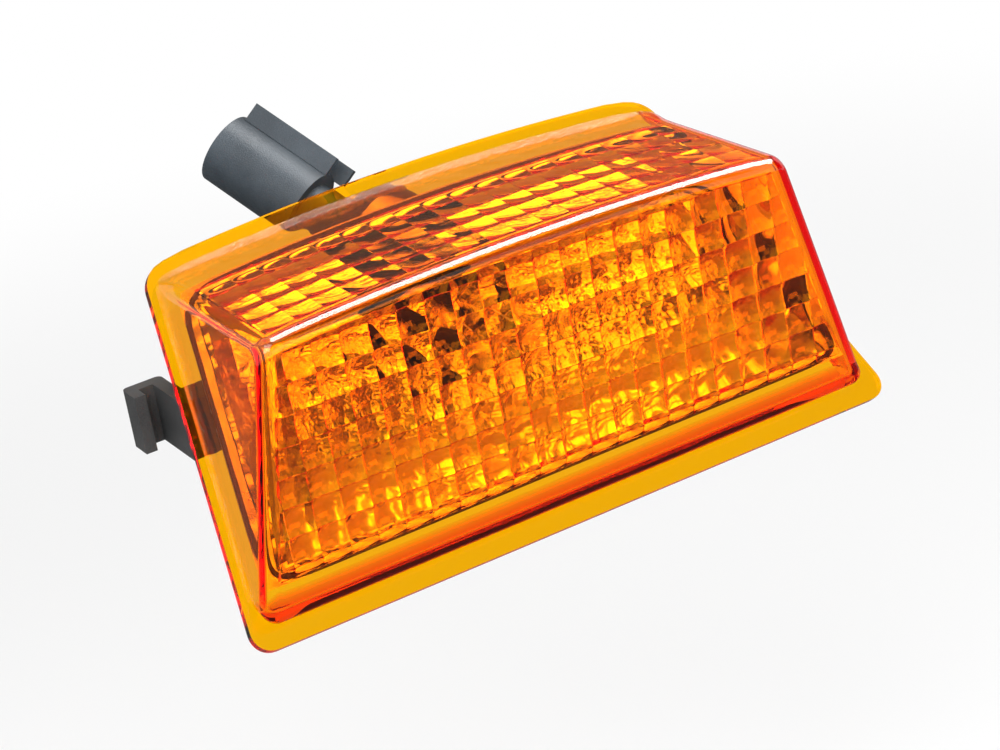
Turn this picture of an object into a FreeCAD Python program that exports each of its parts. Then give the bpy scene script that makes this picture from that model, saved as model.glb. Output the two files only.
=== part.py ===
import FreeCAD, Part
import math
import os

import Sketcher
from FreeCAD import Placement, Rotation, Vector

# Corner indicator lamp. X runs along the ridge of the lens, the front face looks along -Y and the
# top face along +Z. The rim lies in a slanted seat plane whose middle is the origin.
# All sizes are in millimetres and degrees.

SIZES = {
    # lens
    "seat_tilt": 53.4,
    "lens_wall": 2.5,
    "front_reach": 32.5,
    "face_top_left": 73.6,
    "face_top_right": 70.9,
    "face_bottom_left": 87.0,
    "face_bottom_right": 88.0,
    "face_bottom": 30.5,
    "crown_height": 41.2,
    "crown_offset": 12.3,
    "arch_radius": 893.0,
    "right_taper": 3.9,
    "ridge_radius": 1.8,
    "corner_radius": 4.0,
    "flange_thick": 2.5,
    "flange_top_left": 75.4,
    "flange_top_right": 68.0,
    "flange_bottom_left": 90.0,
    "flange_bottom_right": 96.0,
    "flange_lip": 1.2,
    "flange_bottom": 47.5,
    "flange_corner": 6.0,
    # prism grid on the inner side of the lens
    "prism_pitch": 7.5,
    "prism_height": 1.1,
    "prism_foot": 0.35,
    "groove_width": 1.2,
    "column_phase": 1.28,
    "groove_floor": 0.12,
    "groove_overrun": 0.1,
    "row_phase": 3.0,
    "field_margin": 2.4,
    "field_clearance": 0.3,
    "front_field_drop": 4.9,
    "top_field_start": 6.0,
    # housing and its rim
    "rim_height": 10.1,
    "rim_width": 3.4,
    "rim_clearance": 0.3,
    "bead_height": 0.8,
    "bead_gap": 0.1,
    "housing_back": 22.0,
    "housing_taper": 9.0,
    "housing_taper_left": 18.0,
    "housing_wall": 2.2,
    # reflector
    "reflector_wall": 1.2,
    "reflector_depth": 15.2,
    "reflector_round": 80.0,
    "reflector_round_long": 300.0,
    "reflector_gap": 0.3,
    "reflector_port_gap": 0.4,
    # side hook of the housing
    "hook_side": 78.0,
    "hook_thick": 3.6,
    "hook_top": 10.9,
    "hook_width": 15.2,
    "hook_end": 34.2,
    "hook_gap": 4.0,
    "hook_root_length": 9.0,
    "hook_root_width": 27.0,
    "hook_reach": 6.9,
    "hook_lip": 4.2,
    "hook_lip_thick": 3.0,
    # bulb axis, from the filament outwards
    "filament_x": 2.8,
    "filament_y": 5.5,
    "filament_z": 3.4,
    "axis_turn": 25.5,
    "axis_rise": 30.3,
    "latch_roll": 48.6,
    # bulb
    "glass_radius": 13.25,
    "glass_wall": 0.8,
    "neck_radius": 6.8,
    "neck_end": 24.0,
    "cap_fit": 0.05,
    "cap_wall": 0.65,
    "cap_radius": "=neck_radius + cap_fit + cap_wall",
    "cap_grip": 3.5,
    "cap_start": "=neck_end - cap_grip",
    "cap_end": 38.5,
    "pin_place": 31.8,
    "pin_radius": 1.0,
    "pin_reach": 1.5,
    "insulator_radius": 5.4,
    "insulator_thick": 0.8,
    "contact_radius": 2.4,
    "contact_crown": 1.45,
    "contact_height": 1.0,
    "stem_radius": 2.6,
    "stem_start": 13.0,
    "filament_radius": 0.45,
    "filament_half": 2.2,
    "lead_radius": 0.3,
    # bulb holder with its connector
    "spigot_radius": 14.0,
    "spigot_wall": 2.0,
    "port_clearance": 0.2,
    "port_bore": "=spigot_radius + port_clearance",
    "port_wall": 2.4,
    "port_start": 12.0,
    "port_drop": 2.6,
    "port_face": "=crown_height - port_drop",
    "seal_thick": 1.6,
    "seal_clearance": 0.1,
    "seal_inner": "=port_bore + seal_clearance",
    "seal_width": 0.8,
    "collar_radius": "=seal_inner + seal_width",
    "collar_thick": 3.2,
    "spigot_length": 3.4,
    "sleeve_wall": 2.0,
    "sleeve_start": 27.0,
    "cap_clearance": 0.15,
    "pin_clearance": 0.3,
    "slot_width": "=2 * (pin_radius + pin_clearance)",
    "slot_end": "=pin_place + pin_radius + 2 * pin_clearance",
    "plate_radius": 4.0,
    "neck_barrel": 6.6,
    "barrel_start": 58.0,
    "barrel_radius": 9.5,
    "socket_base": 8.0,
    "socket_floor": "=barrel_start + socket_base",
    "socket_depth": 20.0,
    "barrel_end": "=socket_floor + socket_depth",
    "socket_wall": 1.6,
    "rail_height": 4.4,
    "rail_thick": 1.6,
    "rail_gap": 5.0,
    "rail_front": 1.5,
    "rail_long": 3.2,
    "blade_width": 2.8,
    "blade_thick": 0.8,
    "blade_length": 16.0,
    "blade_end": "=socket_floor + blade_length",
    "blade_spacing": 5.0,
    "blade_tip": 0.8,
}

doc = FreeCAD.newDocument("indicator_lamp")
sheet = doc.addObject("Spreadsheet::Sheet", "sheet")
for row, (alias, number) in enumerate(SIZES.items(), start=1):
    sheet.set(f"A{row}", alias)
    sheet.set(f"B{row}", str(number))
    sheet.setAlias(f"B{row}", alias)
doc.recompute()


def size(alias):
    """Gives the value of one driving size."""
    return float(sheet.get(alias))


# The seat frame: X along the lamp, Y up the seat plane, Z out of it towards the lens.
SEAT = Placement(Vector(), Rotation(Vector(1, 0, 0), size("seat_tilt")))

# The bulb frame: Z runs from the filament through the cap to the connector.
BULB = Placement(
    Vector(size("filament_x"), size("filament_y"), size("filament_z")),
    Rotation(Vector(0, 0, 1), size("axis_turn"))
    * Rotation(Vector(1, 0, 0), size("axis_rise") - 90)
    * Rotation(Vector(0, 0, 1), -size("latch_roll")),
)

# Wider than the whole lamp, for cutting blocks.
FAR = 400.0
# Two lengths nearer than this are the same.
NEAR = 0.02


def in_seat(shape):
    """Moves a shape from the seat frame to the part's frame."""
    return shape.transformed(SEAT.toMatrix())


def in_bulb(shape):
    """Moves a shape from the bulb frame to the part's frame."""
    return shape.transformed(BULB.toMatrix())


def rod(radius, start, end):
    """Gives a solid rod along the bulb axis, in the part's frame."""
    return in_bulb(Part.makeCylinder(radius, end - start, Vector(0, 0, start)))


# Lens


def arch_height(x, inset):
    """Gives the height of the arched top face at x, moved inwards by an inset."""
    radius = size("arch_radius") - inset
    across = x + size("crown_offset")
    return size("crown_height") - size("arch_radius") + math.sqrt(radius**2 - across**2)


def side_x(side, z, depth, inset):
    """Gives x of the left (-1) or right (+1) wall at a height and a depth behind the front face."""
    name = "left" if side < 0 else "right"
    top = size("face_top_" + name)
    spread = size("face_bottom_" + name) - top
    share = (size("crown_height") - z) / (size("crown_height") + size("face_bottom"))
    lean = depth * math.tan(math.radians(size("right_taper"))) if side > 0 else 0.0
    return side * (top + spread * share - lean - inset)


def face_outline(depth, inset):
    """Gives the closed outline of the lens body at a depth behind the front face."""
    y = depth - size("front_reach")
    bottom = -size("face_bottom") + inset
    crown = size("crown_height") - inset
    corners = []
    for side in (-1, 1):
        x_top = side_x(side, crown, depth, inset)
        corners.append(Vector(x_top, y, arch_height(x_top, inset)))
        corners.append(Vector(side_x(side, bottom, depth, inset), y, bottom))
    top_left, bottom_left, top_right, bottom_right = corners
    middle = Vector(-size("crown_offset"), y, crown)
    edges = [
        Part.LineSegment(bottom_left, top_left).toShape(),
        Part.Arc(top_left, middle, top_right).toShape(),
        Part.LineSegment(top_right, bottom_right).toShape(),
        Part.LineSegment(bottom_right, bottom_left).toShape(),
    ]
    return Part.Wire(edges)


BODY_DEPTH = 2 * size("front_reach") + size("housing_back")


def lens_block(inset, start):
    """Gives the wedge of the lens before it is cut at the seat, from a depth behind the front face."""
    wires = [face_outline(start, inset), face_outline(BODY_DEPTH, inset)]
    return Part.makeLoft(wires, True, True)


def rounded_block():
    """Gives the outer wedge with its long corners and its front edges rounded."""
    block = lens_block(0.0, 0.0)
    long_edges = [edge for edge in block.Edges if edge.BoundBox.YLength > BODY_DEPTH / 2]
    block = block.makeFillet(size("corner_radius"), long_edges)
    front = -size("front_reach")
    front_edges = [edge for edge in block.Edges if abs(edge.BoundBox.YMax - front) < NEAR]
    return block.makeFillet(size("ridge_radius"), front_edges)


def seat_cut(height):
    """Gives everything in front of the seat plane, from a height above it."""
    return in_seat(Part.makeBox(FAR, FAR, FAR, Vector(-FAR / 2, -FAR / 2, height)))


def flange_plate():
    """Gives the flat rim of the lens, with an arched top edge and rounded corners."""
    tilt = math.radians(size("seat_tilt"))

    def top_edge(x):
        return arch_height(x, -size("flange_lip")) / math.sin(tilt)

    left, right = -size("flange_top_left"), size("flange_top_right")
    middle = -size("crown_offset")
    top_left = Vector(left, top_edge(left), 0)
    top_right = Vector(right, top_edge(right), 0)
    low_left = Vector(-size("flange_bottom_left"), -size("flange_bottom"), 0)
    low_right = Vector(size("flange_bottom_right"), -size("flange_bottom"), 0)
    wire = Part.Wire([
        Part.LineSegment(low_left, top_left).toShape(),
        Part.Arc(top_left, Vector(middle, top_edge(middle), 0), top_right).toShape(),
        Part.LineSegment(top_right, low_right).toShape(),
        Part.LineSegment(low_right, low_left).toShape(),
    ])
    plate = Part.Face(wire).extrude(Vector(0, 0, size("flange_thick")))
    uprights = [edge for edge in plate.Edges if edge.BoundBox.ZLength > size("flange_thick") / 2]
    return in_seat(plate.makeFillet(size("flange_corner"), uprights))


def saw_profile(rows, base, step_along, step_out, start):
    """Gives a saw-tooth face: each row rises from the prism foot to the full prism height."""
    pitch, sink = size("prism_pitch"), size("lens_wall") / 4
    points = [base + step_along * start - step_out * sink]
    for row in range(rows):
        low = base + step_along * (start + row * pitch)
        points.append(low + step_out * size("prism_foot"))
        points.append(low + step_along * pitch + step_out * size("prism_height"))
    points.append(base + step_along * (start + rows * pitch) - step_out * sink)
    return Part.Face(Part.makePolygon(points + points[:1]))


def column_places():
    """Gives x of each line between two columns of prisms."""
    pitch, phase = size("prism_pitch"), size("column_phase")
    first = math.ceil((-size("face_bottom_left") + phase) / pitch)
    last = math.floor((size("face_bottom_right") + phase) / pitch)
    return [number * pitch - phase for number in range(first, last + 1)]


def groove(start, along, out):
    """Gives a V-shaped cutter from a point on the wall, its edge near the wall and its mouth over the prisms."""
    half = Vector(size("groove_width") / 2, 0, 0)
    low = start + out * size("groove_floor")
    mouth = start + out * (size("prism_height") + size("groove_overrun"))
    wire = Part.makePolygon([low, mouth + half, mouth - half, low])
    return Part.Face(wire).extrude(along)


def bead_top():
    """Gives the height of the sealing bead's top above the seat."""
    return size("rim_height") + size("bead_height")


def bead_width():
    """Gives how far the sealing bead reaches in from the lens wall."""
    return size("rim_clearance") + size("rim_width")


def front_field_bottom():
    """Gives z of the front prisms' lower end, which stays clear of the sealing bead."""
    tilt = math.radians(size("seat_tilt"))
    y = size("lens_wall") + size("prism_height") - size("front_reach")
    return (bead_top() + y * math.sin(tilt)) / math.cos(tilt) + size("field_clearance")


def top_row_count():
    """Gives how many rows of prisms the top face has room for in front of the sealing bead."""
    tilt = math.radians(size("seat_tilt"))
    wall_z = arch_height(size("face_top_right"), size("lens_wall"))
    above_bead = bead_top() + size("field_clearance")
    last_y = ((wall_z - size("prism_height")) * math.cos(tilt) - above_bead) / math.sin(tilt)
    room = last_y + size("front_reach") - size("top_field_start")
    return math.floor(room / size("prism_pitch"))


def front_prisms():
    """Gives the prism grid behind the front face."""
    wall_y = size("lens_wall") - size("front_reach")
    pitch = size("prism_pitch")
    bottom, top = front_field_bottom(), size("crown_height") - size("front_field_drop")
    low = -size("row_phase") - pitch * math.ceil((-bottom - size("row_phase")) / pitch)
    rows = math.ceil((top - low) / pitch)
    profile = saw_profile(rows, Vector(-FAR / 2, wall_y, 0), Vector(0, 0, 1), Vector(0, 1, 0), low)
    slab = profile.extrude(Vector(FAR, 0, 0))
    margin = size("lens_wall") + size("field_margin")
    field = Part.makePolygon([
        Vector(side_x(-1, bottom, 0, margin), 0, bottom),
        Vector(side_x(-1, top, 0, margin), 0, top),
        Vector(side_x(1, top, 0, margin), 0, top),
        Vector(side_x(1, bottom, 0, margin), 0, bottom),
        Vector(side_x(-1, bottom, 0, margin), 0, bottom),
    ])
    field = Part.Face(field).extrude(Vector(0, -2 * size("front_reach"), 0))
    cutters = [groove(Vector(x, wall_y, -FAR / 2), Vector(0, 0, FAR), Vector(0, 1, 0))
               for x in column_places()]
    return slab.common(field).cut(cutters)


def top_prisms():
    """Gives the prism grid under the arched top face: the same teeth turned about the arch's axis."""
    wall = size("lens_wall")
    crown = Vector(-size("crown_offset"), 0, size("crown_height") - wall)
    first = size("top_field_start") - size("front_reach")
    rows = top_row_count()
    profile = saw_profile(rows, crown, Vector(0, 1, 0), Vector(0, 0, -1), first)
    pivot = Vector(crown.x, 0, size("crown_height") - size("arch_radius"))
    sweep = math.degrees(2 * size("face_bottom_right") / size("arch_radius"))
    profile.rotate(pivot, Vector(0, 1, 0), -sweep / 2)
    slab = profile.revolve(pivot, Vector(0, 1, 0), sweep)
    margin = wall + size("field_margin")
    last = first + rows * size("prism_pitch")
    corners = []
    for side, y in ((-1, first), (-1, last), (1, last), (1, first)):
        x = side_x(side, crown.z, y + size("front_reach"), margin)
        corners.append(Vector(x, y, 0))
    field = Part.Face(Part.makePolygon(corners + corners[:1])).extrude(Vector(0, 0, FAR / 2))
    cutters = [groove(Vector(x, -FAR / 2, arch_height(x, wall)), Vector(0, FAR, 0), Vector(0, 0, -1))
               for x in column_places()]
    return slab.common(field).cut(cutters)


def lens_shape():
    """Gives the one-piece lens: hollow wedge, flat rim and the two prism grids."""
    outside = rounded_block().common(seat_cut(0.0))
    cavity = lens_block(size("lens_wall"), size("lens_wall"))
    shell = outside.fuse(flange_plate()).cut(cavity)
    return shell.fuse([front_prisms(), top_prisms()]).removeSplitter()


# Housing, sealing bead and reflector


def cavity_outline(height, inset, left_inset=0.0, low_limit=-FAR):
    """Gives the outline of the lens cavity at a height above the seat, moved inwards by an inset.

    The left side can be moved in further, and the low side is kept above a limit."""
    tilt = math.radians(size("seat_tilt"))
    wall = size("lens_wall")
    front = wall - size("front_reach")
    low = max((front + height * math.sin(tilt)) / math.cos(tilt), low_limit) + inset

    def depth_at(up):
        return up * math.cos(tilt) - height * math.sin(tilt) + size("front_reach")

    def z_at(up):
        return up * math.sin(tilt) + height * math.cos(tilt)

    def up_at(x):
        return (arch_height(x, wall) - height * math.cos(tilt)) / math.sin(tilt) - inset

    corners = []
    for side, side_inset in ((-1, wall + inset + left_inset), (1, wall + inset)):
        high = up_at(-size("crown_offset"))
        x_high = side_x(side, z_at(high), depth_at(high), side_inset)
        x_low = side_x(side, z_at(low), depth_at(low), side_inset)
        corners.append(Vector(x_high, up_at(x_high), height))
        corners.append(Vector(x_low, low, height))
    top_left, low_left, top_right, low_right = corners
    middle = Vector(-size("crown_offset"), up_at(-size("crown_offset")), height)
    return Part.Wire([
        Part.LineSegment(low_left, top_left).toShape(),
        Part.Arc(top_left, middle, top_right).toShape(),
        Part.LineSegment(top_right, low_right).toShape(),
        Part.LineSegment(low_right, low_left).toShape(),
    ])


def rim_outline(inset, left_inset, height):
    """Gives the outline of the housing's rim, moved inwards by insets and down to a height.

    The rim goes in through the lens's open back, so it stays inside the lower edge of that opening."""
    opening_low = (size("lens_wall") - size("face_bottom")) / math.sin(math.radians(size("seat_tilt")))
    wire = cavity_outline(size("rim_height"), size("rim_clearance") + inset, left_inset, opening_low)
    wire.translate(Vector(0, 0, height - size("rim_height")))
    return wire


def housing_block(inset, floor):
    """Gives the tapered bowl from the rim down to a floor, moved inwards by an inset."""
    share = (size("rim_height") - floor) / (size("rim_height") + size("housing_back"))
    taper = size("housing_taper") * share
    left = size("housing_taper_left") * share - taper
    wires = [rim_outline(inset, 0.0, size("rim_height")), rim_outline(inset + taper, left, floor)]
    return in_seat(Part.makeLoft(wires, True, True))


def hook_shape():
    """Gives the side hook: a flat arm that runs back, turns outwards and returns forwards in a short lip."""
    side, top, width = -size("hook_side"), size("hook_top"), size("hook_width")
    thick, end, lip = size("hook_thick"), size("hook_end"), size("hook_lip_thick")
    tilt = math.radians(size("seat_tilt"))
    start = (top * math.cos(tilt) + size("hook_gap")) / math.sin(tilt)
    root_back = start + size("hook_root_length")
    root_inner = side + size("hook_root_width")
    outer = side - size("hook_reach")
    points = [
        Vector(side, start, top),
        Vector(side, end - thick, top),
        Vector(outer + lip, end - thick, top),
        Vector(outer + lip, end - thick - size("hook_lip"), top),
        Vector(outer, end - thick - size("hook_lip"), top),
        Vector(outer, end, top),
        Vector(side + thick, end, top),
        Vector(side + thick, root_back, top),
        Vector(root_inner, root_back, top),
        Vector(root_inner, start, top),
    ]
    arm = Part.Face(Part.makePolygon(points + points[:1])).extrude(Vector(0, 0, -width))
    upright = [edge for edge in arm.Edges if edge.BoundBox.ZLength > width / 2]
    outer_edges = [edge for edge in upright if edge.BoundBox.YMin > end - NEAR]
    return arm.makeFillet(lip / 2, outer_edges)


def housing_shape():
    """Gives the moulded bowl with the round bulb port and the side hook."""
    outside = housing_block(0.0, -size("housing_back"))
    port = rod(size("port_bore") + size("port_wall"), size("port_start"), size("port_face"))
    inside = housing_block(size("rim_width"), size("housing_wall") - size("housing_back"))
    bore = rod(size("port_bore"), 0.0, size("port_face") + size("collar_thick"))
    return outside.fuse([port, hook_shape()]).cut([inside, bore]).removeSplitter()


def bead_shape():
    """Gives the sealing bead that lies on the housing's rim against the lens, in the seat frame."""
    heights = (size("rim_height"), bead_top())
    outside = Part.makeLoft([cavity_outline(height, size("bead_gap")) for height in heights], True, True)
    inner = [cavity_outline(height, bead_width()) for height in heights]
    return outside.cut(Part.makeLoft(inner, True, True))


# Points of the mirror's surface from its middle to one edge.
MIRROR_STEPS = 4


def reflector_shape():
    """Gives the mirror: a shallow bowl, z = v^2 / (2 r) + x^2 / (2 r_long), with a skirt up to the rim."""
    centre = SEAT.inverse().multVec(BULB.Base)
    vertex = centre.z - size("reflector_depth")
    reach_x = size("flange_bottom_right")
    reach_v = size("flange_bottom")
    shares = [step / MIRROR_STEPS for step in range(-MIRROR_STEPS, MIRROR_STEPS + 1)]
    grid = []
    for x in [reach_x * share for share in shares]:
        line = []
        for v in [reach_v * share for share in shares]:
            across, up = x - centre.x, v - centre.y
            rise = up**2 / (2 * size("reflector_round")) + across**2 / (2 * size("reflector_round_long"))
            line.append(Vector(x, v, vertex + rise))
        grid.append(line)
    surface = Part.BSplineSurface()
    surface.interpolate(grid)
    face = surface.toShape()
    face.translate(Vector(0, 0, -size("reflector_wall")))
    bowl = in_seat(face.extrude(Vector(0, 0, size("reflector_wall"))))
    above = in_seat(face.extrude(Vector(0, 0, FAR)))
    inset, floor = size("rim_width") + size("reflector_gap"), -size("housing_back")
    room = housing_block(inset, floor)
    skirt = room.cut(housing_block(inset + size("reflector_wall"), floor)).common(above)
    port = rod(size("port_bore") + size("reflector_port_gap"), 0.0, size("port_face"))
    return bowl.common(room).fuse(skirt).cut(port)


def add_shape(label, shape, placement=Placement()):
    """Adds one moulded piece to the document, in the frame that it was shaped in."""
    piece = doc.addObject("Part::Feature", label)
    piece.Shape = shape
    piece.Label = label
    piece.Placement = placement
    return piece


pieces = [
    add_shape("lens", lens_shape()),
    add_shape("housing", housing_shape()),
    add_shape("sealing_bead", bead_shape(), SEAT),
    add_shape("reflector", reflector_shape()),
]

# Turned and moulded pieces on the bulb axis


def new_body(label, placement=BULB):
    """Adds an empty body that stands in the bulb frame."""
    body = doc.addObject("PartDesign::Body", label)
    body.Label = label
    body.Placement = placement
    pieces.append(body)
    return body


def plane(body, role):
    """Finds one of a body's own origin planes."""
    return next(item for item in body.Origin.OriginFeatures if item.Role == role)


def outline(body, name, points, role="XZ_Plane", lift=None):
    """Adds a closed sketch of straight lines whose corners are held by expressions of the sheet."""
    sketch = body.newObject("Sketcher::SketchObject", name)
    sketch.AttachmentSupport = [(plane(body, role), "")]
    sketch.MapMode = "FlatFace"
    if lift:
        sketch.setExpression("AttachmentOffset.Base.z", lift)
    count = len(points)
    values = [[float(sheet.evalExpression(text)) for text in point] for point in points]
    for index in range(count):
        start = Vector(*values[index], 0)
        end = Vector(*values[(index + 1) % count], 0)
        sketch.addGeometry(Part.LineSegment(start, end))
    for index in range(count):
        after = (index + 1) % count
        sketch.addConstraint(Sketcher.Constraint("Coincident", index, 2, after, 1))
    for index, (across, along) in enumerate(points):
        for kind, text, value in (("X", across, values[index][0]), ("Y", along, values[index][1])):
            if abs(value) < 1e-9:
                holder = -2 if kind == "X" else -1
                sketch.addConstraint(Sketcher.Constraint("PointOnObject", index, 1, holder))
                continue
            number = sketch.addConstraint(Sketcher.Constraint("Distance" + kind, -1, 1, index, 1, value))
            sketch.setExpression(f"Constraints[{number}]", text)
    return sketch


def turned(body, name, points):
    """Turns an outline, given as radius and height, about the bulb axis."""
    sketch = outline(body, name + "_outline", points)
    feature = body.newObject("PartDesign::Revolution", name)
    feature.Profile = sketch
    feature.ReferenceAxis = (sketch, ["V_Axis"])
    feature.Angle = 360
    return feature


def padded(body, name, points, lift, length, role="XY_Plane"):
    """Raises an outline by a length from a lift above a plane."""
    sketch = outline(body, name + "_outline", points, role, lift)
    feature = body.newObject("PartDesign::Pad", name)
    feature.Profile = sketch
    feature.setExpression("Length", length)
    return feature


def rectangle(x_low, x_high, y_low, y_high):
    """Gives the corners of an upright rectangle as expressions."""
    return [(x_low, y_low), (x_high, y_low), (x_high, y_high), (x_low, y_high)]


# Glass envelope: a ball with a straight neck, hollow throughout.
glass = doc.addObject("Part::Cut", "bulb_glass")
for part_name, shrink in (("outer", "0"), ("inner", "sheet.glass_wall")):
    ball = doc.addObject("Part::Sphere", part_name + "_ball")
    ball.setExpression("Radius", f"sheet.glass_radius - {shrink}")
    neck = doc.addObject("Part::Cylinder", part_name + "_neck")
    neck.setExpression("Radius", f"sheet.neck_radius - {shrink}")
    neck.setExpression("Height", "sheet.neck_end")
    envelope = doc.addObject("Part::Fuse", part_name + "_envelope")
    envelope.Base = ball
    envelope.Tool = neck
    if part_name == "outer":
        glass.Base = envelope
    else:
        glass.Tool = envelope
glass.Label = "bulb_glass"
glass.Placement = BULB
pieces.append(glass)

# Bayonet cap: a brass cup that holds the neck of the glass.
cap = new_body("bulb_cap")
turned(cap, "cap_cup", [
    ("sheet.neck_radius + sheet.cap_fit", "sheet.cap_start"),
    ("sheet.cap_radius", "sheet.cap_start"),
    ("sheet.cap_radius", "sheet.cap_end"),
    ("0", "sheet.cap_end"),
    ("0", "sheet.neck_end"),
    ("sheet.neck_radius + sheet.cap_fit", "sheet.neck_end"),
])

# Two pins stand out of the cap on opposite sides.
for side_name, direction in (("left", -1), ("right", 1)):
    pin_frame = BULB * Placement(Vector(0, 0, size("pin_place")), Rotation(Vector(0, 1, 0), 90 * direction))
    pin = doc.addObject("Part::Cylinder", "bulb_pin_" + side_name)
    pin.setExpression("Radius", "sheet.pin_radius")
    pin.setExpression("Height", "sheet.pin_reach")
    pin.Label = "bulb_pin_" + side_name
    pin.Placement = pin_frame * Placement(Vector(0, 0, size("cap_radius")), Rotation())
    pieces.append(pin)

# Black glass insulator and the soldered contact at the foot of the cap.
insulator = new_body("bulb_insulator")
turned(insulator, "insulator_disc", [
    ("0", "sheet.cap_end"),
    ("sheet.insulator_radius", "sheet.cap_end"),
    ("sheet.contact_radius", "sheet.cap_end + sheet.insulator_thick"),
    ("0", "sheet.cap_end + sheet.insulator_thick"),
])
CONTACT_FOOT = "sheet.cap_end + sheet.insulator_thick"
contact = new_body("bulb_contact")
turned(contact, "contact_button", [
    ("0", CONTACT_FOOT),
    ("sheet.contact_radius", CONTACT_FOOT),
    ("sheet.contact_crown", CONTACT_FOOT + " + sheet.contact_height"),
    ("0", CONTACT_FOOT + " + sheet.contact_height"),
])

# Glass stem inside the bulb, flared where it stands on the cap.
STEM_FOOT_RADIUS = "sheet.neck_radius - sheet.glass_wall - sheet.cap_fit"
stem = new_body("bulb_stem")
turned(stem, "stem_post", [
    ("0", "sheet.stem_start"),
    ("sheet.stem_radius", "sheet.stem_start"),
    ("sheet.stem_radius", "(sheet.stem_start + sheet.neck_end) / 2"),
    (STEM_FOOT_RADIUS, "sheet.neck_end"),
    ("0", "sheet.neck_end"),
])

# Filament across the axis and the two lead wires that carry it down to the stem.
filament = doc.addObject("Part::Cylinder", "filament")
filament.setExpression("Radius", "sheet.filament_radius")
filament.setExpression("Height", "2 * (sheet.filament_half - sheet.lead_radius)")
filament.Label = "filament"
half_coil = size("filament_half") - size("lead_radius")
filament.Placement = BULB * Placement(Vector(-half_coil, 0, 0), Rotation(Vector(0, 1, 0), 90))
pieces.append(filament)
for side_name, direction in (("left", -1), ("right", 1)):
    top_x = direction * size("filament_half")
    lead = doc.addObject("Part::Box", "lead_wire_" + side_name)
    for edge_name in ("Length", "Width"):
        lead.setExpression(edge_name, "2 * sheet.lead_radius")
    lead.setExpression("Height", "sheet.stem_start + sheet.filament_radius")
    lead.Label = "lead_wire_" + side_name
    corner = Vector(top_x - size("lead_radius"), -size("lead_radius"), -size("filament_radius"))
    lead.Placement = BULB * Placement(corner, Rotation())
    pieces.append(lead)

# Rubber ring between the port of the housing and the collar of the holder.
seal = new_body("holder_seal")
COLLAR_FOOT = "sheet.port_face + sheet.seal_thick"
turned(seal, "seal_ring", [
    ("sheet.seal_inner", "sheet.port_face"),
    ("sheet.collar_radius", "sheet.port_face"),
    ("sheet.collar_radius", COLLAR_FOOT),
    ("sheet.seal_inner", COLLAR_FOOT),
])

# Bulb holder, one moulding: collar, spigot, bulb sleeve, neck and connector barrel.
holder = new_body("bulb_holder")
COLLAR_TOP = COLLAR_FOOT + " + sheet.collar_thick"
SLEEVE_BORE = "sheet.cap_radius + sheet.cap_clearance"
turned(holder, "holder_core", [
    (SLEEVE_BORE, "sheet.sleeve_start"),
    (SLEEVE_BORE + " + sheet.sleeve_wall", "sheet.sleeve_start"),
    (SLEEVE_BORE + " + sheet.sleeve_wall", COLLAR_FOOT),
    ("sheet.spigot_radius - sheet.spigot_wall", COLLAR_FOOT),
    ("sheet.spigot_radius - sheet.spigot_wall", "sheet.port_face - sheet.spigot_length"),
    ("sheet.spigot_radius", "sheet.port_face - sheet.spigot_length"),
    ("sheet.spigot_radius", COLLAR_FOOT),
    ("sheet.collar_radius", COLLAR_FOOT),
    ("sheet.collar_radius", COLLAR_TOP),
    ("sheet.neck_barrel + sheet.collar_thick", COLLAR_TOP),
    ("sheet.neck_barrel", COLLAR_TOP + " + sheet.collar_thick"),
    ("sheet.neck_barrel", "sheet.barrel_start"),
    ("sheet.barrel_radius", "sheet.barrel_start"),
    ("sheet.barrel_radius", "sheet.barrel_end"),
    ("sheet.barrel_radius - sheet.socket_wall", "sheet.barrel_end"),
    ("sheet.barrel_radius - sheet.socket_wall", "sheet.socket_floor"),
    ("0", "sheet.socket_floor"),
    ("0", "sheet.cap_end + sheet.insulator_thick + 2 * sheet.contact_height"),
    (SLEEVE_BORE, "sheet.cap_end + sheet.insulator_thick + 2 * sheet.contact_height"),
])

# Two rails along the barrel guide the latch of the plug; the far one runs on past the barrel's foot.
RAIL_ROOT = "sheet.barrel_radius - sheet.socket_wall / 2"
RAIL_TOP = "sheet.barrel_radius + sheet.rail_height"
for rail, sign, foot in (("near", "-", "0"), ("far", "", "sheet.rail_long")):
    inner_face = f"{sign}sheet.rail_gap / 2"
    outer_face = f"{sign}(sheet.rail_gap / 2 + sheet.rail_thick)"
    padded(holder, f"rail_{rail}", rectangle(RAIL_ROOT, RAIL_TOP, inner_face, outer_face),
           f"sheet.barrel_start - {foot}",
           f"sheet.barrel_end - sheet.barrel_start - sheet.rail_front + {foot}")
RAIL_ROOF_LOW = "sheet.barrel_radius + sheet.rail_height - sheet.rail_thick"
padded(holder, "rail_roof", rectangle(RAIL_ROOF_LOW, RAIL_TOP, "-sheet.rail_gap / 2", "sheet.rail_gap / 2"),
       "sheet.barrel_end - sheet.rail_front - sheet.rail_height", "sheet.rail_height")

# Slots in the sleeve let the two pins of the cap slide in.
slot_sketch = outline(holder, "pin_slot_outline", rectangle(
    "-sheet.slot_width / 2", "sheet.slot_width / 2", "sheet.sleeve_start", "sheet.slot_end"), "YZ_Plane")
doc.recompute()
solid_before = holder.Shape.Volume
slots = holder.newObject("PartDesign::Pocket", "pin_slots")
slots.Profile = slot_sketch
slots.setExpression("Length", "2 * (sheet.cap_radius + sheet.cap_clearance + 2 * sheet.sleeve_wall)")
slots.Midplane = True
doc.recompute()
if holder.Shape.Volume >= solid_before:
    raise RuntimeError("the pin slots cut nothing")

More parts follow.
